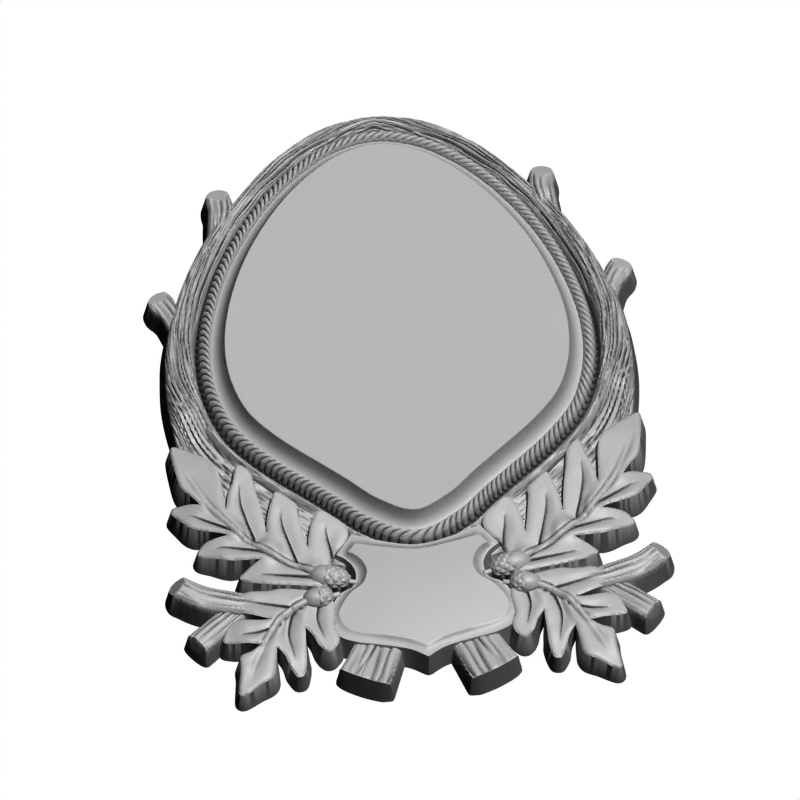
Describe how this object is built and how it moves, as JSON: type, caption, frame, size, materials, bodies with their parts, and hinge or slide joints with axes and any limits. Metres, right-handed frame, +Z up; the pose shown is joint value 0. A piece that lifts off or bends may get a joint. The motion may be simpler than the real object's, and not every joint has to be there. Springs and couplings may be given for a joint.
{
  "type": "carved wooden trophy plaque",
  "caption": "Wall plaque carved with a bark ring, rope border, oak sprays, acorns and a shield below a raised smooth field.",
  "frame": {"origin": "on the flat back, on the centre line, behind the middle of the raised field", "axes": "+Z up as the plaque hangs, +Y into the wall, so the carving faces -Y; +X to the viewer's right"},
  "size_m": [0.3602, 0.0346, 0.4729],
  "materials": {
    "stone_grey_paint": "carved wood under an even satin stone-grey paint"
  },
  "bodies": {
    "root": {"carved_plaque": "stone_grey_paint"}
  },
  "joints": []
}
